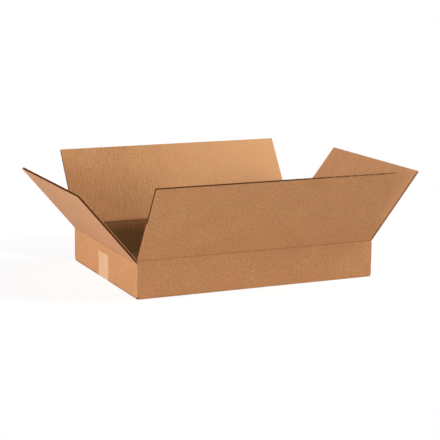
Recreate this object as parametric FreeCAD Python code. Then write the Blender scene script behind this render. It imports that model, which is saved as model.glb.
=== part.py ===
"""A low corrugated shipping carton: a regular slotted box that stands on its taped
bottom with its four top flaps open.

The carton is folded from one sheet of corrugated board. Its four walls, four
bottom flaps and glued joint tab are one solid. The four top flaps belong to the
same sheet, and each is a solid of its own because it turns at its crease. The
only other piece is the strip of tape that closes the bottom seam.

Frame: millimetres, +Z up, X along the length, the front at -Y. The origin is
under the middle of the carton, on the surface that it stands on.
"""
import FreeCAD, Part
import math
import os

# The carton, measured over its outside
carton_length = 440.0         # along X
carton_width = 312.0          # along Y
major_crease_height = 65.0    # creases of the front and back flaps
bottom_seam = 10.0            # what two long flaps leave open between them

# The corrugated board: two liners and the wavy medium between them
board = 4.0                   # whole thickness
liner = 0.4
medium = 0.3
flute_pitch = 7.8
flute_crest = 1.6             # flat top of a wave, where it is glued to a liner
cut_flute = 2.4               # how deep the knife lays a flute open along a side edge

# Creases and slots
crease_web = 1.2              # crushed board left at the fold of a crease
crease_ramp = 6.0             # over which the inside liner comes back to full thickness
crushed_band = 3.0            # flat board beyond the ramp, before the flutes open
crease_gap = 0.3              # left in a fold between a flap and its wall
lap_gap = 0.3                 # between flaps that lie one on the other
long_flap_inset = 2.0         # a long flap stops this far inside the end walls' faces
end_flap_play = 1.0           # from an end panel's side to the inside of a long wall
corner_radius = 2.5           # outside of an upright corner
fold_radius = 2.0             # outside of a fold at the bottom

# How far each top flap leans out from upright, in degrees
front_lean = 30.8
back_lean = 33.8
left_lean = 40.5
right_lean = 38.2

# The tab that closes the sheet into a tube, glued inside the right-hand wall
tab_width = 35.0
tab_taper = 8.0               # what its free edge loses above and below
tab_play = 1.0                # to the end flaps above and below it
joint_slit = 0.3              # between the back wall's fold and the end wall's cut edge

# The tape over the bottom seam
tape_width = 48.0
tape_thickness = 0.1
tape_offset = 3.0             # how far its middle lies behind the middle of the seam
tape_reach = 46.0             # height of its ends on the end walls

# How far a cutting shape runs past what it cuts
overrun = 1.0

# Sizes that follow from these
half_length = carton_length / 2
half_width = carton_width / 2
flap_length = (carton_width - bottom_seam) / 2
end_crease_height = major_crease_height - board - lap_gap
end_floor = board + lap_gap
long_half = half_length - long_flap_inset
end_half = half_width - board - end_flap_play
end_flap_half = end_half - crease_gap
flute_start = crease_ramp + crushed_band
floor_sight = half_length - flap_length

ORIGIN = FreeCAD.Vector(0, 0, 0)
X_AXIS = FreeCAD.Vector(1, 0, 0)
Y_AXIS = FreeCAD.Vector(0, 1, 0)
Z_AXIS = FreeCAD.Vector(0, 0, 1)


def extruded(corners, along):
    """A straight solid from the corners of its end."""
    points = [FreeCAD.Vector(*corner) for corner in corners]
    outline = Part.makePolygon(points + points[:1])
    return Part.Face(outline).extrude(FreeCAD.Vector(*along))


def to_wall(shape, quarter_turns):
    """Carry a shape built at the front wall to the right, back or left one."""
    placed = shape.copy()
    placed.rotate(ORIGIN, Z_AXIS, 90 * quarter_turns)
    return placed


def flute_section(centre, opens_inside):
    """Corners of one channel, as (place along the edge, depth in the board).

    The medium is a wave with flat crests. A channel lies between the wave and
    one liner, wide at that liner and narrow under the crest.
    """
    rise = board - 2 * liner - medium
    run = flute_pitch / 2 - flute_crest
    half_web = medium * math.hypot(rise, run) / rise / 2
    overlap = run * medium / 2 / rise
    wide = flute_crest / 2 + run + overlap - half_web
    narrow = flute_crest / 2 + overlap - half_web
    base = liner
    top = board - liner - medium
    if opens_inside:
        base = board - liner
        top = liner + medium
    return [(centre - wide, base), (centre + wide, base), (centre + narrow, top), (centre - narrow, top)]


def flutes(half_span, start, end):
    """The channels of a panel that stands with its outside at y = 0, from one height to another."""
    half_pitch = flute_pitch / 2
    steps = int(2 * (half_span - cut_flute - half_pitch) / half_pitch)
    channels = []
    for step in range(steps + 1):
        centre = (step - steps / 2) * half_pitch
        section = flute_section(centre, step % 2 == 1)
        corners = [(x, y, start) for x, y in section]
        channels.append(extruded(corners, (0, 0, end - start)))
    return channels


def opened_sides(half_span, start, end):
    """The flutes that the knife lays open along the two side edges of such a panel."""
    grooves = []
    for side in (-1, 1):
        section = [
            (side * (half_span + overrun), liner),
            (side * (half_span - cut_flute), liner),
            (side * (half_span - cut_flute / 3), board - liner),
            (side * (half_span + overrun), board - liner),
        ]
        corners = [(x, y, start) for x, y in section]
        grooves.append(extruded(corners, (0, 0, end - start)))
    return grooves


def upright_flap(half_span):
    """A top flap, upright at the origin: its crease along X, its outside at y = 0.

    The crease is crushed from the inside, so the root thins down a ramp and ends
    at 45 degrees. The flutes run from beyond the ramp to the free edge.
    """
    corners = [
        (-half_span, 0, crease_gap),
        (-half_span, 0, flap_length),
        (-half_span, board, flap_length),
        (-half_span, board, crease_gap + crease_ramp),
        (-half_span, crease_web, crease_gap + crease_web),
    ]
    sheet = extruded(corners, (2 * half_span, 0, 0))
    end = flap_length + overrun
    openings = flutes(half_span, flute_start, end) + opened_sides(half_span, flute_start, end)
    return sheet.cut(Part.makeCompound(openings))


def top_flap(half_span, crease_height, distance, lean, quarter_turns):
    """A top flap, leaned out and carried to the crease of its wall."""
    flap = upright_flap(half_span)
    flap.rotate(ORIGIN, X_AXIS, lean)
    flap.translate(FreeCAD.Vector(0, -distance, crease_height))
    return to_wall(flap, quarter_turns)


def folded_panel(half_span, distance, floor, crease_height):
    """A wall and its bottom flap, folded from the sheet, at the front."""
    outside = -distance
    inside = outside + board
    free_edge = outside + flap_length
    profile = [
        (outside, floor),
        (outside, crease_height),
        (outside + crease_web, crease_height - crease_web),
        (inside, crease_height - crease_ramp),
        (inside, floor + board),
        (free_edge, floor + board),
        (free_edge, floor),
    ]
    corners = [(-half_span, y, z) for y, z in profile]
    panel = extruded(corners, (2 * half_span, 0, 0))
    fold = [
        edge for edge in panel.Edges
        if abs(edge.CenterOfMass.y - outside) < 1e-6 and abs(edge.CenterOfMass.z - floor) < 1e-6
    ]
    return panel.makeFillet(fold_radius, fold)


def bottom_flutes(half_span, open_half, distance, floor):
    """The open flutes of a bottom flap, which lies at the front with its outside down.

    Its free edge shows them over open_half to each side of the middle.
    """
    end = flap_length + overrun
    channels = flutes(open_half, flute_start, end) + opened_sides(half_span, flute_start, end)
    channels = Part.makeCompound(channels)
    channels.rotate(ORIGIN, X_AXIS, -90)
    channels.rotate(ORIGIN, Y_AXIS, 180)
    channels.translate(FreeCAD.Vector(0, -distance, floor))
    return channels


def corner_post(side_x, side_y):
    """The board round one upright corner, between the slots above and below it."""
    low = FreeCAD.Vector(half_length - board, end_half, end_floor)
    post = Part.makeBox(board, half_width - end_half, end_crease_height - end_floor, low)
    outer = [
        edge for edge in post.Edges
        if abs(edge.CenterOfMass.x - half_length) < 1e-6 and abs(edge.CenterOfMass.y - half_width) < 1e-6
    ]
    post = post.makeFillet(corner_radius, outer)
    if side_x < 0:
        post = post.mirror(ORIGIN, X_AXIS)
    if side_y < 0:
        post = post.mirror(ORIGIN, Y_AXIS)
    return post


def joint_tab():
    """The tab that the back wall carries, folded and glued inside the right-hand wall."""
    low = end_floor + board + tab_play
    high = end_crease_height - max(board, crease_ramp) - tab_play
    fold = half_width - board
    free_edge = fold - tab_width
    inner_face = half_length - 2 * board
    corners = [
        (inner_face, fold, low),
        (inner_face, fold, high),
        (inner_face, free_edge, high - tab_taper),
        (inner_face, free_edge, low + tab_taper),
    ]
    return extruded(corners, (board, 0, 0))


def carton_body():
    """Four walls, four bottom flaps, the corners and the tab: one folded sheet."""
    long_panel = folded_panel(long_half, half_width, 0, major_crease_height)
    end_panel = folded_panel(end_half, half_length, end_floor, end_crease_height)
    pieces = [to_wall(long_panel, 2), to_wall(end_panel, 1), to_wall(end_panel, 3)]
    pieces += [corner_post(side_x, side_y) for side_x in (-1, 1) for side_y in (-1, 1)]
    pieces.append(joint_tab())
    body = long_panel.multiFuse(pieces).removeSplitter()

    # The end wall's cut edge stands beside the back wall's fold at the joint
    slit_low = FreeCAD.Vector(half_length - board - joint_slit, half_width - board, end_floor)
    slit = Part.makeBox(joint_slit, board + overrun, major_crease_height, slit_low)

    # The weight of the carton presses the tape flush into the soft board
    strip_low = FreeCAD.Vector(-half_length, tape_offset - tape_width / 2, -overrun)
    strip = Part.makeBox(carton_length, tape_width, overrun + tape_thickness, strip_low)

    # The long flaps' flutes can be seen only between the end flaps
    long_flutes = bottom_flutes(long_half, floor_sight, half_width, 0)
    end_flutes = bottom_flutes(end_half, end_half, half_length, end_floor)
    openings = [to_wall(long_flutes, 0), to_wall(long_flutes, 2)]
    openings += [to_wall(end_flutes, 1), to_wall(end_flutes, 3)]
    return body.cut([slit, strip] + openings)


def tape_bend_height():
    """Where the tape leaves an end wall, on its way past the fold to a long flap's edge."""
    across = long_flap_inset - fold_radius
    up = end_floor + fold_radius - tape_thickness
    slope = math.atan2(across, up) + math.asin(fold_radius / math.hypot(across, up))
    return tape_thickness + long_flap_inset / math.tan(slope)


def sealing_tape():
    """One strip along the bottom seam and up both end walls."""
    bend = tape_bend_height()
    left_outer = [
        (-half_length - tape_thickness, tape_reach),
        (-half_length - tape_thickness, bend),
        (-long_half - tape_thickness, 0),
    ]
    left_inner = [
        (-long_half, tape_thickness),
        (-half_length, bend),
        (-half_length, tape_reach),
    ]
    right_outer = [(-x, z) for x, z in reversed(left_outer)]
    right_inner = [(-x, z) for x, z in reversed(left_inner)]
    profile = left_outer + right_outer + right_inner + left_inner
    corners = [(x, tape_offset - tape_width / 2, z) for x, z in profile]
    return extruded(corners, (0, tape_width, 0))


nodes = {
    "carton_body": carton_body(),
    "front_flap": top_flap(long_half, major_crease_height, half_width, front_lean, 0),
    "right_flap": top_flap(end_flap_half, end_crease_height, half_length, right_lean, 1),
    "back_flap": top_flap(long_half, major_crease_height, half_width, back_lean, 2),
    "left_flap": top_flap(end_flap_half, end_crease_height, half_length, left_lean, 3),
    "sealing_tape": sealing_tape(),
}

os.makedirs("parts", exist_ok=True)
for name, shape in nodes.items():
    shape.exportStep("parts/" + name + ".step")
    print(name, len(shape.Solids), "solid", round(shape.Volume / 1000, 2), "cm3", "valid", shape.isValid())
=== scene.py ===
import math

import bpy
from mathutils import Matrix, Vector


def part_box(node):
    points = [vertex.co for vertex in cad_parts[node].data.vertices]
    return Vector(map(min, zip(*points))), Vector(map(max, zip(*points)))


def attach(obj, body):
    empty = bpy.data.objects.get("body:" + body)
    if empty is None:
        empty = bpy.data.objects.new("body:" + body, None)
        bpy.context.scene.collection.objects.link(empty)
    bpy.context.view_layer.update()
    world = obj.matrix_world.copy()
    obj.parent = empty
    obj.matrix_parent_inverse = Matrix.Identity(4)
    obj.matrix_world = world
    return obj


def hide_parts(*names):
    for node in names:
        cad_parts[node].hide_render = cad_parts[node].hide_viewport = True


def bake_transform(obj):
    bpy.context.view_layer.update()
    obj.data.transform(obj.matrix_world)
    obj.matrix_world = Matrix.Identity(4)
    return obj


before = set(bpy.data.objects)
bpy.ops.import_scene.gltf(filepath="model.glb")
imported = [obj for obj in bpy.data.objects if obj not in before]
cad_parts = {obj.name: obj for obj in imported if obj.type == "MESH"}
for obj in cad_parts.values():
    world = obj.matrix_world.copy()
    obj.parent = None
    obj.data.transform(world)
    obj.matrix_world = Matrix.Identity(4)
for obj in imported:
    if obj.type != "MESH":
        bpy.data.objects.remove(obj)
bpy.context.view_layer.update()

# %% [markdown]
# # A low corrugated carton with its four flaps open
#
# The object is one sheet of corrugated board, folded into a low tray-like box: four
# walls, four bottom flaps held shut by a strip of tape, and four top flaps that turn
# on creases. The model that was loaded above gives the exact sizes and the joints.
# This script dresses it. Every panel becomes real board, with two liners and a wavy
# paper between them, so that its cut edges look right from any side.

# %% [markdown] ## The sizes that the pieces share  They are the maker's sizes of the
# carton, in metres, and they repeat those of the plain model.

# %% The carton's sizes
MM = 0.001
half_length = 220 * MM
half_width = 156 * MM
major_crease = 65 * MM
minor_crease = 60.7 * MM
minor_floor = 4.3 * MM
flap_length = 151 * MM
board = 4 * MM
liner = 0.45 * MM
washboard = 0.06 * MM
pitch = 7.8 * MM
long_half = 218 * MM
short_half = half_width - board
short_flap_half = 150.7 * MM
fold_radius = 2 * MM
strip = 4 * MM
lean = {"front": 30.8, "right": 38.2, "back": 33.8, "left": 40.5}
turns = {"front": 0, "right": 1, "back": 2, "left": 3}
distance = {"front": half_width, "right": half_length, "back": half_width, "left": half_length}
crease = {"front": major_crease, "right": minor_crease, "back": major_crease, "left": minor_crease}
floor_of = {"front": 0.1 * MM, "right": minor_floor, "back": 0.1 * MM, "left": minor_floor}
low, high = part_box("carton_body")
print("body of the carton, mm:", [round(1000 * (b - a), 1) for a, b in zip(low, high)])

# %% [markdown]
# ## The camera
#
# The picture was taken with a long lens from the front left, a little above the rim,
# and the camera was turned by less than one degree. The place and the lens come from
# fitting the carton's corners and flap tips to the picture. A camera could be aimed
# with a Track To constraint, but a matrix says its three axes outright and also holds
# the small roll.

# %% The camera
azimuth = math.radians(-24.709)
elevation = math.radians(11.287)
roll = math.radians(0.654)
away = 2531.4 * MM
aside = -0.1 * MM
above = 86.23 * MM
picture_pixels = 440
focal_pixels = 1415.9


def placed(name, data):
    """An object that shows this data, put in the scene."""
    item = bpy.data.objects.new(name, data)
    bpy.context.scene.collection.objects.link(item)
    return item


back = Vector((
    math.sin(azimuth) * math.cos(elevation),
    -math.cos(azimuth) * math.cos(elevation),
    math.sin(elevation),
))
level_right = (-back).cross(Vector((0, 0, 1))).normalized()
level_up = level_right.cross(-back)
right = math.cos(roll) * level_right + math.sin(roll) * level_up
up = -math.sin(roll) * level_right + math.cos(roll) * level_up
place = away * back + aside * right + above * up
camera_data = bpy.data.cameras.new("camera")
camera_data.sensor_width = 36
camera_data.lens = focal_pixels / picture_pixels * camera_data.sensor_width
camera_data.clip_start = 0.05
camera_data.clip_end = 50
camera = placed("camera", camera_data)
camera.matrix_world = Matrix.Translation(place) @ Matrix((right, up, back)).transposed().to_4x4()
bpy.context.scene.camera = camera
print("lens, mm:", round(camera_data.lens, 1), "distance, m:", round(place.length, 2))

# %% [markdown]
# ## Node maths in plain Python
#
# The materials and the geometry trees below are formulas. Adding each Math node by
# hand hides the formula, so one small class wraps a socket and turns Python's
# operators into Math nodes. Its method node() adds any other node, and noise(),
# ramp() and stretched() add the three that the papers use most.

# %% The class for node maths
class Signal:
    """A socket of a node tree. Operators on it add Math nodes, and node() adds any node."""

    def __init__(self, tree, socket=None):
        self.tree = tree
        self.socket = socket

    def node(self, kind, settings=None, sockets=None, take=0):
        made = self.tree.nodes.new(kind)
        for name, value in (settings or {}).items():
            setattr(made, name, value)
        for key, value in (sockets or {}).items():
            if isinstance(value, Signal):
                self.tree.links.new(value.socket, made.inputs[key])
            else:
                made.inputs[key].default_value = value
        return Signal(self.tree, made.outputs[take])

    def math(self, operation, *values):
        sockets = dict(enumerate(values))
        return self.node("ShaderNodeMath", {"operation": operation}, sockets)

    def __add__(self, other):
        return self.math("ADD", self, other)

    def __radd__(self, other):
        return self.math("ADD", other, self)

    def __sub__(self, other):
        return self.math("SUBTRACT", self, other)

    def __rsub__(self, other):
        return self.math("SUBTRACT", other, self)

    def __mul__(self, other):
        return self.math("MULTIPLY", self, other)

    def __rmul__(self, other):
        return self.math("MULTIPLY", other, self)

    def __truediv__(self, other):
        return self.math("DIVIDE", self, other)

    def __rtruediv__(self, other):
        return self.math("DIVIDE", other, self)

    def __pow__(self, other):
        return self.math("POWER", self, other)

    def __neg__(self):
        return self.math("MULTIPLY", self, -1)

    def part(self, index):
        """One number of a vector."""
        return self.node("ShaderNodeSeparateXYZ", None, {0: self}, index)

    def noise(self, scale, detail, **more):
        """A noise pattern, read at this place."""
        sockets = {"Vector": self, "Scale": scale, "Detail": detail, **more}
        return self.node("ShaderNodeTexNoise", None, sockets)

    def ramp(self, start, end, top=1.0, interpolation="LINEAR"):
        """From 0 where this value is start to top where it is end, and level beyond."""
        sockets = {0: self, 1: start, 2: end, 3: 0.0, 4: top}
        return self.node("ShaderNodeMapRange", {"interpolation_type": interpolation}, sockets)

    def stretched(self, scales):
        """This place, with each axis multiplied by its own number."""
        return self.node("ShaderNodeMapping", None, {0: self, "Scale": scales})


print("methods of a signal:", [name for name in vars(Signal) if not name.startswith("_")])

# %% [markdown]
# ## The board as a rule
#
# Corrugated board is three papers: an outer liner, an inner liner and the medium, a
# paper pressed into waves and glued between them. All three follow the panel through
# its folds. That is a rule, so Geometry Nodes make it. The tree takes the panel's
# profile, a chain of points down its side, each with the way through the board to its
# inside, and lays a grid of points across it. A wave of the right height at the right
# depth turns the same grid into a liner or the medium. Modelling the waves by hand
# would give the same shape with no sizes left to change. Flare bends the inner liner
# out by a little at the ends of the grid, where a knife has lifted it.

# %% The tree for one paper of the board
def new_tree(name, sizes):
    """An empty geometry tree with a Geometry input and output and these named inputs."""
    tree = bpy.data.node_groups.new(name, "GeometryNodeTree")
    tree.interface.new_socket("Geometry", in_out="INPUT", socket_type="NodeSocketGeometry")
    for label, kind, value in sizes:
        socket = tree.interface.new_socket(label, in_out="INPUT", socket_type="NodeSocket" + kind)
        if value is not None:
            socket.default_value = value
    tree.interface.new_socket("Geometry", in_out="OUTPUT", socket_type="NodeSocketGeometry")
    return tree


paper_tree = new_tree("one_paper", [
    ("Pitch", "Float", pitch),
    ("Columns", "Int", 100),
    ("Depth Share", "Float", 0.0),
    ("Depth", "Float", 0.0),
    ("Wave Share", "Float", 0.0),
    ("Wave", "Float", 0.0),
    ("Warp", "Float", 0.0),
    ("Seed", "Float", 0.0),
    ("Layer", "Float", 0.0),
    ("Flare", "Float", 0.0),
    ("Faces Inside", "Bool", False),
])
start = Signal(paper_tree)
given = paper_tree.nodes.new("NodeGroupInput")
asked = {socket.name: Signal(paper_tree, socket) for socket in given.outputs if socket.name}
profile = asked["Geometry"]
stations = start.node("GeometryNodeAttributeDomainSize", {"component": "MESH"}, {0: profile})
grid = start.node("GeometryNodeMeshGrid", None, {2: asked["Columns"], 3: stations})
index = start.node("GeometryNodeInputIndex")
row = index.math("MODULO", index, stations)
share = index.math("FLOOR", (index + 0.5) / stations) / (asked["Columns"] - 1)


def along_profile(attribute, data_type):
    """The profile's value of an attribute at this point's row."""
    if attribute == "position":
        value = start.node("GeometryNodeInputPosition")
    else:
        value = start.node("GeometryNodeInputNamedAttribute", {"data_type": data_type}, {0: attribute})
    settings = {"data_type": data_type, "domain": "POINT"}
    return start.node("GeometryNodeSampleIndex", settings, {0: profile, 1: value, 2: row})


outer = along_profile("position", "FLOAT_VECTOR")
through = along_profile("through", "FLOAT_VECTOR")
run = along_profile("run", "FLOAT")
first = along_profile("first", "FLOAT")
last = along_profile("last", "FLOAT")
bow = along_profile("bow", "FLOAT")
across = first + share * (last - first)
wave = start.math("COSINE", across * (2 * math.pi) / asked["Pitch"])
spot = start.node("ShaderNodeCombineXYZ", None, {0: across, 1: run, 2: asked["Seed"]})
drift = spot.noise(9.0, 1.0)
swell = asked["Warp"] * drift * bow * (4 * share * (1 - share))
thick = start.node("ShaderNodeVectorMath", {"operation": "LENGTH"}, {0: through}, 1)
column = share * (asked["Columns"] - 1)
near_first = start.math("MAXIMUM", 1 - column, 0.0)
near_last = start.math("MAXIMUM", column - asked["Columns"] + 2, 0.0)
middle = asked["Depth Share"] * thick + asked["Depth"] + asked["Flare"] * (near_first + near_last)
height = asked["Wave Share"] * thick + asked["Wave"]
depth = (middle + height * wave + swell) / thick
inward = start.node("ShaderNodeVectorMath", {"operation": "SCALE"}, {0: through, "Scale": depth})
shift = start.node("ShaderNodeCombineXYZ", None, {0: across})
path = start.node("ShaderNodeVectorMath", {"operation": "ADD"}, {0: outer, 1: inward})
target = start.node("ShaderNodeVectorMath", {"operation": "ADD"}, {0: path, 1: shift})
laid = start.node("GeometryNodeSetPosition", None, {0: grid, 2: target})
label = start.node("ShaderNodeCombineXYZ", None, {0: across, 1: run, 2: asked["Layer"]})
named = start.node(
    "GeometryNodeStoreNamedAttribute",
    {"data_type": "FLOAT_VECTOR", "domain": "POINT"},
    {0: laid, "Name": "sheet", "Value": label},
)
turned = start.node("GeometryNodeFlipFaces", None, {0: named})
either = {0: asked["Faces Inside"], 1: named, 2: turned}
chosen = start.node("GeometryNodeSwitch", {"input_type": "GEOMETRY"}, either)
result = paper_tree.nodes.new("NodeGroupOutput")
paper_tree.links.new(chosen.socket, result.inputs[0])
print("nodes in the paper's tree:", len(paper_tree.nodes))

# %% The tree for the three papers together
board_tree = new_tree("corrugated_board", [
    ("Pitch", "Float", pitch),
    ("Liner Columns", "Int", 300),
    ("Medium Columns", "Int", 600),
    ("Paper", "Float", liner),
    ("Washboard", "Float", washboard),
    ("Warp", "Float", 0.0),
    ("Seed", "Float", 0.0),
    ("Flare", "Float", 0.0),
    ("Outer Liner", "Material", None),
    ("Inner Liner", "Material", None),
    ("Medium", "Material", None),
])
start = Signal(board_tree)
given = board_tree.nodes.new("NodeGroupInput")
asked = {socket.name: Signal(board_tree, socket) for socket in given.outputs if socket.name}
ridge = asked["Washboard"]
layers = [
    {"Columns": asked["Liner Columns"], "Depth": ridge * 0.3, "Wave": ridge * 0.3, "Layer": 0.0},
    {
        "Columns": asked["Liner Columns"],
        "Depth Share": 1.0,
        "Depth": -ridge,
        "Wave": ridge,
        "Layer": 1.0,
        "Flare": asked["Flare"],
        "Faces Inside": True,
    },
    {
        "Columns": asked["Medium Columns"],
        "Depth Share": 0.5,
        "Depth": asked["Paper"] * -0.5,
        "Wave Share": 0.5,
        "Wave": asked["Paper"] * -1.5,
        "Layer": 2.0,
    },
]
gather = board_tree.nodes.new("GeometryNodeJoinGeometry")
for layer in layers:
    sockets = {0: asked["Geometry"]}
    sockets.update({label: asked[label] for label in ("Pitch", "Warp", "Seed")})
    sockets.update(layer)
    made = start.node("GeometryNodeGroup", {"node_tree": paper_tree}, sockets)
    board_tree.links.new(made.socket, gather.inputs[0])
solid = start.node("GeometryNodeRealizeInstances", None, {0: Signal(board_tree, gather.outputs[0])})
sheet = start.node("GeometryNodeInputNamedAttribute", {"data_type": "FLOAT_VECTOR"}, {0: "sheet"})
layer_of = sheet.part(2)
equal = {"data_type": "FLOAT", "operation": "EQUAL"}
for number, finish in enumerate(("Outer Liner", "Inner Liner", "Medium")):
    mine = start.node("FunctionNodeCompare", equal, {0: layer_of, 1: number, "Epsilon": 0.3})
    solid = start.node("GeometryNodeSetMaterial", None, {0: solid, 1: mine, "Material": asked[finish]})
result = board_tree.nodes.new("NodeGroupOutput")
board_tree.links.new(solid.socket, result.inputs[0])
print("nodes in the board's tree:", len(board_tree.nodes))

# %% [markdown]
# ## Kraft paper
#
# Kraft is brown paper, dull and fibrous. Its colour drifts in clouds a few centimetres
# wide, it is mottled at a few millimetres, short fibres lie mostly across the flutes,
# and the glued crests of the waves show through as fine lines. A picture of paper
# would repeat and would not follow the folds, so the patterns are made of noise. They
# read the attribute that the board's tree stores: metres across the panel, metres
# from the crease, and the layer. They then follow the sheet through its folds and
# stay on a flap when it turns.

# %% Helpers for materials
def new_material(name):
    """A material with an empty Principled shader, and the start of its tree."""
    material = bpy.data.materials.new(name)
    material.use_nodes = True
    return material, Signal(material.node_tree), material.node_tree.nodes["Principled BSDF"]


def linear(red, green, blue):
    """A colour given in the usual 0 to 255 numbers, as the linear one that shaders use."""
    channels = []
    for value in (red / 255, green / 255, blue / 255):
        is_dark = value <= 0.04045
        channels.append(value / 12.92 if is_dark else ((value + 0.055) / 1.055) ** 2.4)
    return channels + [1.0]


def mixed(share, one, other):
    """Two colours, mixed by a share."""
    return share.node("ShaderNodeMix", {"data_type": "RGBA"}, {0: share, 6: one, 7: other}, 2)


print("a middle grey, linear:", round(linear(128, 128, 128)[0], 3))

# %% [markdown]
# ## Light and shade inside
#
# Little light reaches the inside of a low box, and the lamps alone leave it too even.
# So light and shade are painted into the inner liner's colour. Painted light makes it
# lighter towards one side of the panel, and painted shade makes it darker below the
# crease and on the floor, but less so in the middle of the floor. A band is a pair of
# distances in metres, where it starts and where it is complete, and the crests of the
# waves break the bands up.

# %% The inner liner's shade
side_light_band = (0.10, -0.20)
rim_shade_band = (0.0006, -0.0018)
wall_shade_band = (0.0, -0.02)
floor_shade_band = (-0.056, -0.075)
middle_band = (-0.08, -0.15)
centre_band = (0.12, 0.04)


def shaded_inside(colour, across, run, crests, streaks, tones):
    """Inner liner colour: painted light to one side, painted shade at the rim and on the floor."""
    colour = mixed(across.ramp(*side_light_band, 0.75), colour, tones["light"])
    rim_shade = run.ramp(*rim_shade_band, interpolation="SMOOTHSTEP")
    wall_shade = run.ramp(*wall_shade_band, 0.31)
    central = across.math("ABSOLUTE", across).ramp(*centre_band)
    shade = 1 - run.ramp(*middle_band) * central * 0.55
    stripes = (crests - 0.5) * 0.12 + (streaks - 0.5) * 0.4
    deep_share = (rim_shade * 0.60 + wall_shade) * shade * (1 - stripes)
    colour = mixed(deep_share, colour, tones["deep"])
    # The floor tone is painted shade on the floor of the carton.
    return mixed(run.ramp(*floor_shade_band, 0.5) * shade, colour, tones["floor"])


print("the floor is darkest from, mm from the crease:", round(-1000 * floor_shade_band[1]))

# %% [markdown]
# ## One function for every paper
#
# The papers differ in tones, in how strongly the flutes' lines show and in the grain:
# the outer liner's is a little coarser. A press has rubbed the creases dark, and painted
# shade of the crease's groove darkens them further, so the pressed tone takes over
# within about a millimetre of them.

# %% The kraft material
def kraft(name, tones, lines, press, sheen):
    """Brown paper: its tone with drifting clouds, mottling, fibres and the flutes' lines."""
    material, maths, shader = new_material(name)
    sheet = maths.node("ShaderNodeAttribute", {"attribute_name": "sheet"}, None, 1)
    across = sheet.part(0)
    run = sheet.part(1)
    shaded = "deep" in tones
    fineness, roughness, contrast = (300.0, 0.75, 3.2) if shaded else (240.0, 0.8, 2.9)
    clouds = sheet.noise(22.0, 3.0)
    patches = sheet.noise(48.0, 3.0, Distortion=0.6)
    mottle = sheet.noise(fineness, 3.0, Roughness=roughness)
    streaks = sheet.stretched((330.0, 45.0, 1.0)).noise(1.0, 2.0)
    fibres = sheet.stretched((340.0, 1300.0, 1.0)).noise(1.0, 3.0, Roughness=0.65)
    row = maths.node("ShaderNodeCombineXYZ", None, {0: across * 90.0, 1: run * 9.0})
    strength = row.noise(1.0, 1.0)
    crests = maths.math("COSINE", across * (2 * math.pi / pitch)) * 0.5 + 0.5
    ribs = (crests ** 3 - 0.3) * strength * (2 * lines) + (streaks - 0.5) * (6 * lines)
    grain = (clouds - 0.5) * 0.7 + (mottle - 0.5) * contrast + (fibres - 0.5) * 1.6
    darkness = maths.node("ShaderNodeClamp", None, {0: grain + ribs + 0.45})
    colour = mixed(darkness, tones["plain"], tones["dark"])
    colour = mixed(patches.ramp(0.50, 0.70, 0.55), colour, tones["warm"])
    # A lining gets painted light and painted shade inside the carton.
    if shaded:
        colour = shaded_inside(colour, across, run, crests, streaks, tones)
    # Darker near the crease: rubbed by the press, with painted shade of its groove.
    millimetres = run * 1000
    pressed = press / (1 + millimetres ** 2 * 3)
    colour = mixed(pressed, colour, tones["pressed"])
    dullness = 0.86 + (mottle - 0.5) * 0.16
    relief = fibres * 0.6 + mottle * 0.4
    bump = maths.node("ShaderNodeBump", None, {"Strength": 0.3, "Distance": 0.00012, "Height": relief})
    for signal, socket in ((colour, "Base Color"), (dullness, "Roughness"), (bump, "Normal")):
        maths.tree.links.new(signal.socket, shader.inputs[socket])
    shader.inputs["Specular IOR Level"].default_value = 0.25
    shader.inputs["Sheen Weight"].default_value = sheen
    shader.inputs["Sheen Roughness"].default_value = 0.5
    return material


outer_tones = {
    "plain": linear(212, 157, 110),
    "dark": linear(186, 131, 82),
    "warm": linear(212, 144, 103),
    "pressed": linear(150, 98, 56),
}
outer_liner = kraft("kraft_outer_liner", outer_tones, lines=0.05, press=0.6, sheen=0.08)
print("material:", outer_liner.name)

# %% [markdown]
# ## The other papers
#
# The inner liner is lighter than the outer one, and its flutes show more. The right
# flap's lining is the same paper, slightly redder and even, without the painted light
# towards one side, so it is a material of its own. The medium is painted dark, as the
# shade in the hollows of a cut edge, where one sees it, and the cut paper is the pale
# core that a knife lays bare. Each could have a tree of its own, but one function with
# other tones keeps their grain alike.

# %% Linings, medium and cut paper
inner_tones = {
    "plain": linear(222, 165, 114),
    "dark": linear(194, 138, 89),
    "warm": linear(218, 153, 110),
    "pressed": linear(112, 74, 40),
    # The last three tones are painted light and painted shade for the inside.
    "light": linear(242, 186, 132),
    "deep": linear(124, 93, 54),
    "floor": linear(70, 46, 24),
}
# The right flap's lining: slightly redder tones, and no painted light towards one side.
no_side_light_tones = {
    **inner_tones,
    "plain": linear(228, 168, 119),
    "dark": linear(204, 144, 96),
    "light": linear(228, 168, 119),
}
# The medium's dark tones are painted shade of the hollows in a cut edge.
medium_shade_tones = {
    "plain": linear(112, 63, 24),
    "dark": linear(84, 45, 15),
    "warm": linear(112, 63, 24),
    "pressed": linear(84, 45, 15),
}
# The cut paper also serves as painted light in the hollows that light reaches.
cut_and_lit_tones = {
    **outer_tones,
    "plain": linear(212, 158, 112),
    "dark": linear(172, 120, 78),
}
inner_liner = kraft("kraft_inner_liner", inner_tones, lines=0.22, press=1.0, sheen=0.0)
lining_without_side_light = kraft("kraft_lining_without_side_light", no_side_light_tones, lines=0.22, press=1.0, sheen=0.0)
medium_and_hollow_shade = kraft("kraft_medium_and_hollow_shade", medium_shade_tones, lines=0.0, press=0.5, sheen=0.0)
cut_and_lit_paper = kraft("kraft_cut_edge_and_lit_hollow", cut_and_lit_tones, lines=0.0, press=0.3, sheen=0.0)
kraft_papers = (outer_liner, inner_liner, lining_without_side_light, medium_and_hollow_shade, cut_and_lit_paper)
print("kraft materials:", [paper.name for paper in kraft_papers])

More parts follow.
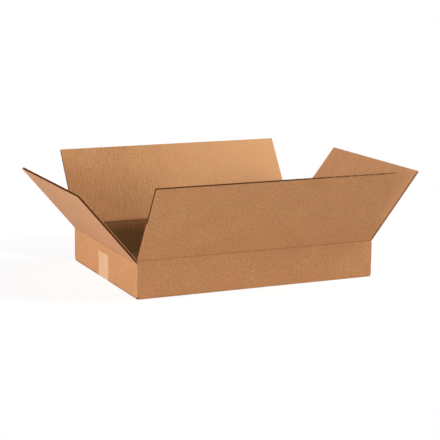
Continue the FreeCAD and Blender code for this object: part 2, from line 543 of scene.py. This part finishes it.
# %% [markdown]
# ## Profiles of the panels
#
# A profile is seen from the panel's side: it starts at the free edge of the bottom
# flap, goes round the bottom fold, up the wall to the crease and on up the flap. Each
# station is a point on the outside of the board and its partner on the inside, its
# run from the crease, how much it may bow, and where the panel ends across. At a
# crease the press has crushed the board to a web, 2 mm thick on the long sides and
# 1.6 mm on the short ones, and 4 mm further it is almost back to full thickness.

# %% How far the press has crushed the board
strip_thickness = 0.975 * board


def crushed(gap, sharpness=1.0, web=2 * MM):
    """How thick the board is at this distance from a crease, up to the strip's edge."""
    return web + (strip_thickness - web) * (gap / strip) ** sharpness


print("thickness 2 mm from a crease, mm:", round(1000 * crushed(2 * MM), 2))

# %% The stations of a wall
long_ends = (-long_half, long_half)
bottom_reaches = [value * MM for value in (151, 146, 130, 110, 90, 70, 50, 35, 20, 10)]
wall_shares = (0.16, 0.3, 0.45, 0.6, 0.75)
inside_radius = 0.3 * MM
fold_run = 2 * MM
fold_steps = 6


def wall_profile(side, wall_ends, bottom_ends):
    """Bottom flap, fold and wall. Ends are where the panel starts and stops across."""
    face = -distance[side]
    ground = floor_of[side]
    top = crease[side]
    rise = top - ground
    is_end = side in ("left", "right")
    sag = 2.6 * MM if is_end else 0.0
    radius = 1.7 * MM if is_end else fold_radius
    stations = []
    for reach in bottom_reaches:
        outer_point = (face + reach, ground)
        inner_point = (face + reach, ground + board)
        stations.append((outer_point, inner_point, -rise - reach, 0.0, bottom_ends))
    for step in range(fold_steps + 1):
        angle = math.radians(90 / fold_steps * step)
        sine = 1 - math.sin(angle)
        cosine = 1 - math.cos(angle)
        droop = sag * math.sin(2 * angle)
        outer_point = (face + radius * sine, ground + fold_radius * cosine - droop)
        inner_point = (face + board + inside_radius * sine, ground + board + inside_radius * cosine)
        run = -rise - fold_run * (fold_steps - step) / fold_steps
        ends = bottom_ends if step < fold_steps / 2 else wall_ends
        stations.append((outer_point, inner_point, run, 0.0, ends))
    levels = [ground + part * rise for part in wall_shares]
    levels += [top - gap for gap in (9 * MM, 6 * MM, strip)]
    for level in levels:
        bow = math.sin(math.pi * (level - ground) / rise)
        thick = crushed(strip) if level == levels[-1] else board
        stations.append(((face, level), (face + thick, level), level - top, bow, wall_ends))
    return stations


print("stations of a wall:", len(wall_profile("front", long_ends, long_ends)))

# %% The stations of a flap and of a crease
flap_climbs = [value * MM for value in (4, 6, 9, 20, 38, 58, 78, 98, 118, 136, 147, 151)]
crease_gaps = [value * MM for value in (4, 2.8, 1.7, 0.9, 0.4)]
slot_bottom = 0.8 * MM
flap_sharpness = 0.55


def leaning(side, depth, climb):
    """A point of the flap, by its depth in the board and its distance from the crease."""
    angle = math.radians(lean[side])
    out = depth * math.cos(angle) - climb * math.sin(angle)
    rise = depth * math.sin(angle) + climb * math.cos(angle)
    return (-distance[side] + out, crease[side] + rise)


def flap_profile(side, ends):
    """A top flap, from just beyond its crease to its free edge."""
    stations = []
    for climb in flap_climbs:
        bow = math.sin(math.pi * climb / flap_length)
        thick = crushed(strip) if climb <= strip else board
        stations.append((leaning(side, 0, climb), leaning(side, thick, climb), climb, bow, ends))
    return stations


def crease_profile(side, ends, wall_ends):
    """The strip that bends: 4 mm of wall and 4 mm of flap, crushed most at the crease."""
    face = -distance[side]
    top = crease[side]
    bend = math.radians(lean[side] / 2)
    is_long = side in ("front", "back")
    web = (2.0 if is_long else 1.6) * MM
    wall_sharpness = 0.16 if is_long else 0.4
    stations = []
    for gap in crease_gaps:
        thick = crushed(gap, wall_sharpness, web)
        here = wall_ends if gap > slot_bottom else ends
        stations.append(((face, top - gap), (face + thick, top - gap), -gap, 0.0, here))
    hinge_inside = (face + web * math.cos(bend), top + web * math.sin(bend))
    stations.append(((face, top), hinge_inside, 0.0, 0.0, ends))
    for gap in reversed(crease_gaps):
        thick = crushed(gap, flap_sharpness, web)
        stations.append((leaning(side, 0, gap), leaning(side, thick, gap), gap, 0.0, ends))
    return stations


print("stations of a flap:", len(flap_profile("front", long_ends)))

# %% [markdown]
# ## Cut edges
#
# A cut edge shows the ends of the papers, pale where a knife has opened them, and
# dark hollows between. The backs of the liners get the medium's dark paper as painted
# shade of the hollows. Where light reaches in, the hollows are painted pale instead as
# painted light, and where the knife ran along a wave they are pale as cut paper. That
# is so along the left flap's bent liner, most of the right flap's near edge, and parts
# of the front flap's edges. The front flap's upper left edge is painted dark as shade.
# A finish is a place in a panel's list of papers: the two liners, the medium, the cut
# paper.

# %% Which stretches of the cut edges are pale
medium_shade_slot = 2
cut_and_lit_slot = 3
end_depth = 2 * MM
free_depth = 6 * MM
left_pale_run = 0.075
dashes_from = 0.14
all_pale_from = 0.197
fade_from = 0.02
fade_length = 0.17


def pale_edge(side, across, run, layer):
    """Whether the hollows of a cut edge are painted pale here, where light reaches in."""
    if side == "left":
        return round(layer) == 1 and across > short_flap_half - end_depth
    if side == "right":
        stretches = math.sin(170 * run) + math.sin(410 * run + 1)
        return across < end_depth - short_flap_half and stretches > -1.6
    if side == "front" and run > flap_length - free_depth:
        dashes = across > dashes_from and math.sin(230 * across) + math.sin(510 * across) > 0.8
        fading = math.sin(5200 * across) > 1.1 - 1.5 * (across - fade_from) / fade_length
        return across > all_pale_from or dashes or fading
    return side == "front" and across < end_depth - long_half and run < left_pale_run


def shaded_edge(side, across, run):
    """Whether the cut papers are painted dark here, as shade on the front flap's upper left edge."""
    return side == "front" and across < end_depth - long_half and run > left_pale_run


def edge_papers(mesh, finish, side):
    """Paper of each face, with the painted light and painted shade stretches of the cut edges."""
    labels = mesh.attributes["sheet"].data
    for face in mesh.polygons:
        across, run, layer = labels[face.vertices[0]].vector
        if finish[face.index] == medium_shade_slot and pale_edge(side, across, run, layer):
            finish[face.index] = cut_and_lit_slot
        elif finish[face.index] == cut_and_lit_slot and shaded_edge(side, across, run):
            finish[face.index] = medium_shade_slot
    return finish


print("pale at the front flap's right tip:", pale_edge("front", 0.2, flap_length, 0))

# %% [markdown]
# ## From a profile to a panel
#
# The profile becomes a chain of edges that carries its values as attributes. The
# board's tree turns it into three papers, and a Solidify modifier gives each paper
# its thickness. The result is kept as a plain mesh, turned to its side of the carton.
# A liner needs six columns a wave and the medium ten, to look round.

# %% The chain of edges and its attributes
liner_columns = 6
medium_columns = 10


def profile_chain(name, stations):
    """A chain of edges through the outer points. It carries the rest as attributes."""
    chain = bpy.data.meshes.new(name + "_profile")
    points = [(0, *station[0]) for station in stations]
    chain.from_pydata(points, [(at, at + 1) for at in range(len(points) - 1)], [])
    through = chain.attributes.new("through", "FLOAT_VECTOR", "POINT")
    for at, station in enumerate(stations):
        (y, z), (inner_y, inner_z) = station[:2]
        through.data[at].vector = (0, inner_y - y, inner_z - z)
    for label, values in (
        ("run", [station[2] for station in stations]),
        ("bow", [station[3] for station in stations]),
        ("first", [station[4][0] for station in stations]),
        ("last", [station[4][1] for station in stations]),
    ):
        attribute = chain.attributes.new(label, "FLOAT", "POINT")
        attribute.data.foreach_set("value", values)
    return placed(name + "_carrier", chain)


def evaluated(item):
    """The object with its modifiers applied."""
    return item.evaluated_get(bpy.context.evaluated_depsgraph_get())


def input_names(tree):
    """Identifiers of a tree's inputs, by name."""
    sockets = [item for item in tree.interface.items_tree if item.in_out == "INPUT"]
    return {item.name: item.identifier for item in sockets}


print("inputs of the board's tree:", list(input_names(board_tree)))

# %% The function that makes a panel of board
def board_panel(name, side, stations, seed, warp=0.0, ridges=washboard, flare=0.0, lining=inner_liner):
    """A piece of board along a profile, on its side of the carton."""
    carrier = profile_chain(name, stations)
    width = max(station[4][1] - station[4][0] for station in stations)
    waves = width / pitch
    inputs = {
        "Liner Columns": round(waves * liner_columns) + 1,
        "Medium Columns": round(waves * medium_columns) + 1,
        "Washboard": ridges,
        "Paper": liner,
        "Warp": warp,
        "Seed": seed,
        "Flare": flare,
        "Outer Liner": outer_liner,
        "Inner Liner": lining,
        "Medium": medium_and_hollow_shade,
    }
    rule = carrier.modifiers.new("board", "NODES")
    rule.node_group = board_tree
    names = input_names(board_tree)
    for label, value in inputs.items():
        rule[names[label]] = value
    sheet_faces = len(evaluated(carrier).data.polygons)
    thickness = carrier.modifiers.new("thickness", "SOLIDIFY")
    thickness.thickness = liner
    thickness.offset = -1
    mesh = bpy.data.meshes.new_from_object(evaluated(carrier))
    bpy.data.objects.remove(carrier)
    mesh.name = name
    papers = [outer_liner, lining, medium_and_hollow_shade, cut_and_lit_paper]
    slots = {at: papers.index(paper) for at, paper in enumerate(mesh.materials) if paper}
    finish = [slots[face.material_index] for face in mesh.polygons]
    backs = slice(sheet_faces, 2 * sheet_faces)
    rims = slice(2 * sheet_faces, None)
    # The liners' hidden backs get the dark medium paper: painted shade of the hollows.
    finish[backs] = [medium_shade_slot] * sheet_faces
    finish[rims] = [cut_and_lit_slot if paper < medium_shade_slot else medium_shade_slot for paper in finish[rims]]
    if name.endswith(("flap_board", "crease")):
        finish = edge_papers(mesh, finish, side)
    mesh.materials.clear()
    for paper in papers:
        mesh.materials.append(paper)
    mesh.polygons.foreach_set("material_index", finish)
    mesh.transform(Matrix.Rotation(math.radians(90 * turns[side]), 4, "Z"))
    piece = placed(name, mesh)
    mesh.calc_loop_triangles()
    print(name, "triangles:", len(mesh.loop_triangles))
    return piece


# %% [markdown]
# ## The walls and the bottom flaps
#
# Each wall is one strip with its bottom flap. The long ones reach past the end walls'
# outer faces at the corners, and the end ones stand between them. The right wall runs
# on to the back face, where its cut edge meets the fold of the back wall. Walls and
# bottom flaps could be one mesh, but a strip for each side keeps the flutes regular.

# %% The four walls with their bottom flaps
short_ends = (-short_half, short_half)
bottom_half = 151 * MM
bottom_short = (-bottom_half, bottom_half)
joint_fold = 213.7 * MM
back_ends = (-joint_fold, long_half)
joint_ends = (-short_half, half_width)
front_wall = board_panel("front_wall", "front", wall_profile("front", long_ends, long_ends), 1.0)
back_wall = board_panel("back_wall", "back", wall_profile("back", back_ends, long_ends), 2.0)
left_wall = board_panel("left_wall", "left", wall_profile("left", short_ends, bottom_short), 3.0)
right_wall = board_panel("right_wall", "right", wall_profile("right", joint_ends, bottom_short), 4.0)
for piece in (front_wall, back_wall, left_wall, right_wall):
    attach(piece, "carton")
    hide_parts("carton_body")

# %% [markdown]
# ## The flaps and their creases
#
# A flap is stiff, so it rides on its own body. The crease is the one place that
# bends: a strip 8 mm wide that follows the wall at one edge and the flap at the other.
# Two stiff panels that meet in a line would open a gap when they turn. The change
# from one to the other lies within 0.8 mm of the hinge line, so the strip folds
# sharply there, as crushed board does.

# %% The four top flaps and the creases that carry them
flap_warp = 0.5 * MM
flap_ridges = 0.05 * MM
left_flare = 0.7 * MM
flaps = {}
creases = {}
for number, side in enumerate(("front", "right", "back", "left")):
    half = long_half if side in ("front", "back") else short_flap_half
    ends = (-half, half)
    name = side + "_flap"
    looks = {
        "flare": left_flare if side == "left" else 0.0,
        "lining": lining_without_side_light if side == "right" else inner_liner,
    }
    stations = flap_profile(side, ends)
    flap = board_panel(name + "_board", side, stations, 5.0 + number, flap_warp, flap_ridges, **looks)
    flaps[side] = flap
    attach(flaps[side], name)
    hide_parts(name)
    looks["flare"] /= 2
    stations = crease_profile(side, ends, ends if side in ("front", "back") else short_ends)
    creases[side] = board_panel(side + "_crease", side, stations, 9.0 + number, **looks)
    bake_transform(creases[side])

# %% [markdown]
# ## The corners
#
# The walls were bent from one sheet, so the board turns each corner in a small round.
# Four prisms of crushed board fill the corners between the slots. They are plain
# enough to be listed corner by corner, with the round worked out in a loop.

# %% The shape of a corner post
post_width = 2 * MM
round_steps = 6


def post(corner_x, corner_y):
    """Corners and faces of one upright prism. Its outer edge is round."""
    sign_x = 1 if corner_x > 0 else -1
    sign_y = 1 if corner_y > 0 else -1
    outline = []
    for step in range(round_steps + 1):
        angle = math.radians(90 / round_steps * step)
        x = corner_x - sign_x * fold_radius * (1 - math.sin(angle))
        y = corner_y - sign_y * fold_radius * (1 - math.cos(angle))
        outline.append((x, y))
    outline.append((corner_x, corner_y - sign_y * board))
    outline.append((corner_x - sign_x * post_width, corner_y - sign_y * board))
    count = len(outline)
    points = [(x, y, level) for level in (minor_floor, minor_crease) for x, y in outline]
    faces = [list(range(count))[::-1], list(range(count, 2 * count))]
    for at in range(count):
        following = (at + 1) % count
        faces.append([at, following, count + following, count + at])
    if sign_x * sign_y > 0:
        faces = [face[::-1] for face in faces]
    return points, faces


print("points of a post:", len(post(half_length, half_width)[0]))

# %% The four corner posts
joint_post_x = 215.7 * MM
corners = [
    (-half_length, -half_width),
    (half_length, -half_width),
    (-half_length, half_width),
    (joint_post_x, half_width),
]
points = []
faces = []
for corner in corners:
    post_points, post_faces = post(*corner)
    faces += [[at + len(points) for at in face] for face in post_faces]
    points += post_points
corner_mesh = bpy.data.meshes.new("corner_posts")
corner_mesh.from_pydata(points, [], faces)
label = corner_mesh.attributes.new("sheet", "FLOAT_VECTOR", "POINT")
for at, (x, y, z) in enumerate(points):
    label.data[at].vector = (x + y, z - major_crease, 0.0)
corner_mesh.materials.append(outer_liner)
# Top and bottom faces get the dark medium paper: end grain, with painted shade in the notch.
corner_mesh.materials.append(medium_and_hollow_shade)
for face in corner_mesh.polygons:
    face.material_index = 1 if abs(face.normal.z) > 0.5 else 0
corner_posts = placed("corner_posts", corner_mesh)
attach(corner_posts, "carton")
print("corner posts, faces:", len(corner_mesh.polygons))

# %% [markdown]
# ## The joint
#
# The sheet is closed into a tube by a tab that the back wall carries. It is folded in
# and glued to the inside of the right wall. It is a panel like the others, but its far
# edge slopes at the top and the bottom, so each station has its own end.

# %% The glued tab
tab_outside = -216 * MM + 0.05 * MM
tab_inside = -212 * MM
tab_edge = 117 * MM
tab_slopes = [(9.3, 8.0), (14.0, 4.0), (18.8, 0.0), (31.0, 0.0), (44.2, 0.0), (49.0, 4.0), (53.7, 8.0)]
tab_stations = []
for height, slope in tab_slopes:
    level = height * MM
    ends = (tab_edge + slope * MM, short_half)
    tab_stations.append(((tab_outside, level), (tab_inside, level), level - minor_crease, 0.0, ends))
joint_tab = board_panel("joint_tab", "right", tab_stations, 13.0)
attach(joint_tab, "carton")
print("joint tab, mm high:", round(tab_slopes[-1][0] - tab_slopes[0][0], 1))

# %% [markdown]
# ## The tape
#
# One strip of thin film runs along the bottom seam and up both end walls. Its ends
# were torn on a toothed blade, so they are a row of small points. The film is paler
# than the board and only half dull, with fine streaks along it. It could be three
# thin boxes, but one grid laid along a path turns the folds without a seam.

# %% The tape material
tape, maths, shader = new_material("packing_tape")
spot = maths.node("ShaderNodeTexCoord", None, None, 3)
streaks = spot.stretched((8.0, 420.0, 8.0)).noise(1.0, 2.0)
haze = spot.noise(60.0, 2.0)
cover = maths.node("ShaderNodeClamp", None, {0: (streaks - 0.5) * 1.4 + (haze - 0.5) * 0.5 + 0.5})
film_colour = mixed(cover, linear(228, 185, 141), linear(206, 158, 112))
tape.node_tree.links.new(film_colour.socket, shader.inputs["Base Color"])
shader.inputs["Roughness"].default_value = 0.42
shader.inputs["Specular IOR Level"].default_value = 0.4
print("material:", tape.name)

# %% The way of the tape, from one torn end to the other
low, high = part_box("sealing_tape")
half_tape = 24 * MM
tape_middle = 3 * MM
tape_film = 0.08 * MM
tooth = 0.5 * MM
side_path = [(-half_length - tape_film, height * MM) for height in (46, 38, 30, 22, 14, 8, 5)]
side_path += [(-half_length - tape_film, 3.4 * MM), (-half_length + 0.4 * MM, 1.6 * MM)]
side_path += [(-long_half - 0.4 * MM, 0.6 * MM), (-long_half + 0.5 * MM, 0.0)]
bottom_path = [(x * MM, 0.0) for x in range(-200, 201, 20)]
tape_path = side_path + bottom_path + [(-x, z) for x, z in reversed(side_path)]
print("solid tape, mm:", [round(1000 * (b - a), 1) for a, b in zip(low, high)])

# %% The strip of tape
teeth = 48
columns = 2 * teeth + 1
points = []
for station, (x, z) in enumerate(tape_path):
    is_end = station in (0, len(tape_path) - 1)
    for column in range(columns):
        y = tape_middle - half_tape + 2 * half_tape * column / (columns - 1)
        cut = tooth if column % 2 and is_end else 0.0
        points.append((x, y, z - cut))
faces = []
for station in range(len(tape_path) - 1):
    for column in range(columns - 1):
        at = station * columns + column
        faces.append((at, at + 1, at + columns + 1, at + columns))
tape_mesh = bpy.data.meshes.new("sealing_tape_film")
tape_mesh.from_pydata(points, [], faces)
tape_mesh.materials.append(tape)
film_piece = placed("sealing_tape_film", tape_mesh)
film_thickness = film_piece.modifiers.new("film", "SOLIDIFY")
film_thickness.thickness = tape_film * 0.9
film_thickness.offset = -1
film_piece.data = bpy.data.meshes.new_from_object(evaluated(film_piece))
film_piece.modifiers.clear()
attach(film_piece, "carton")
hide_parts("sealing_tape")
print("tape faces:", len(film_piece.data.polygons))

# %% [markdown]
# ## Floor and background
#
# The floor is plain and pale. To the camera it adds a little light of its own, so it
# meets the white background without a line, and it keeps the carton's soft shadow. To
# the carton it is a matt surface, very slightly warm, that throws light back up. The
# background is white to the camera and in shines, and gives no light otherwise.

# %% The floor
def seen_ray(maths):
    """1 for a ray that shows a thing to the camera, straight, in a shine or through it."""
    ray = maths.tree.nodes.new("ShaderNodeLightPath")
    camera_ray = Signal(maths.tree, ray.outputs["Is Camera Ray"])
    glossy_ray = Signal(maths.tree, ray.outputs["Is Glossy Ray"])
    through_ray = Signal(maths.tree, ray.outputs["Is Transmission Ray"])
    return maths.math("MINIMUM", camera_ray + glossy_ray + through_ray, 1.0)


floor_reach = 6.0
floor_gap = 0.0002
floor_material = bpy.data.materials.new("pale_floor")
floor_material.use_nodes = True
tree = floor_material.node_tree
tree.nodes.clear()
maths = Signal(tree)
matt = maths.node("ShaderNodeBsdfDiffuse", None, {"Color": (0.82, 0.79, 0.74, 1)})
faint = maths.node("ShaderNodeBsdfDiffuse", None, {"Color": (0.22, 0.22, 0.22, 1)})
glow = maths.node("ShaderNodeEmission", None, {"Color": (1, 1, 1, 1), "Strength": 0.86})
near_floor = maths.node("ShaderNodeAddShader", None, {0: faint, 1: glow})
spread = maths.node("ShaderNodeTexCoord", None, None, 3)
from_centre = maths.node("ShaderNodeVectorMath", {"operation": "LENGTH"}, {0: spread}, 1)
fade = from_centre.ramp(0.35, 0.9, interpolation="SMOOTHSTEP")
far_floor = maths.node("ShaderNodeEmission", None, {"Color": (1, 1, 1, 1), "Strength": 1.0})
lifted = maths.node("ShaderNodeMixShader", None, {0: fade, 1: near_floor, 2: far_floor})
surface = maths.node("ShaderNodeMixShader", None, {0: seen_ray(maths), 1: matt, 2: lifted})
output = tree.nodes.new("ShaderNodeOutputMaterial")
tree.links.new(surface.socket, output.inputs["Surface"])
floor_corners = [(-1, -1), (1, -1), (1, 1), (-1, 1)]
floor_points = [(x * floor_reach, y * floor_reach, 0) for x, y in floor_corners]
floor_mesh = bpy.data.meshes.new("floor")
floor_mesh.from_pydata(floor_points, [], [(0, 1, 2, 3)])
floor_mesh.materials.append(floor_material)
ground = placed("floor", floor_mesh)
ground.location.z = -floor_gap
print("floor, m:", 2 * floor_reach)

# %% The background
world = bpy.data.worlds.new("studio")
bpy.context.scene.world = world
world.use_nodes = True
tree = world.node_tree
tree.nodes.clear()
maths = Signal(tree)
surround = maths.node("ShaderNodeBackground", None, {"Color": (1, 1, 1, 1), "Strength": 0.0})
white = maths.node("ShaderNodeBackground", None, {"Color": (1, 1, 1, 1), "Strength": 1.0})
sky = maths.node("ShaderNodeMixShader", None, {0: seen_ray(maths), 1: surround, 2: white})
output = tree.nodes.new("ShaderNodeOutputWorld")
tree.links.new(sky.socket, output.inputs["Surface"])
bpy.context.scene.view_settings.view_transform = "Standard"
print("world:", world.name)

# %% [markdown]
# ## Light
#
# Six large square lamps stand round the carton, each turned to its middle. The two
# strongest are low, on the left and on the right. Two weaker ones light the front and
# one the back, and only a little comes from overhead, so the flaps are bright and the
# inside stays dark. A lamp's place is its turn from the front, its climb above the
# floor and the same distance for all, which is easier to change than coordinates. The
# level is the one at which a colour renders about as it is written.

# %% The lamps
lamp_distance = 2.6
lamp_size = 0.8
lamp_aim = Vector((0, 0, 0.08))
lamps = {
    "right_low": (80, 16, 36),
    "left": (-100, 19, 34),
    "overhead": (90, 70, 6),
    "front_low": (-40, 6, 29),
    "front_right": (48, 50, 24),
    "behind": (170, 10, 22),
}


def lamp(name, turn, climb, power):
    """A square area lamp at two angles, in radians, and turned to the carton."""
    data = bpy.data.lights.new(name, "AREA")
    data.shape = "SQUARE"
    data.size = lamp_size
    data.energy = power
    level = math.cos(climb)
    spot = lamp_distance * Vector((math.sin(turn) * level, -math.cos(turn) * level, math.sin(climb)))
    facing = (lamp_aim - spot).to_track_quat("-Z", "Y").to_matrix().to_4x4()
    made = placed(name, data)
    made.matrix_world = Matrix.Translation(spot) @ facing
    return made


for name, (turn, climb, power) in lamps.items():
    lamp(name, math.radians(turn), math.radians(climb), power)
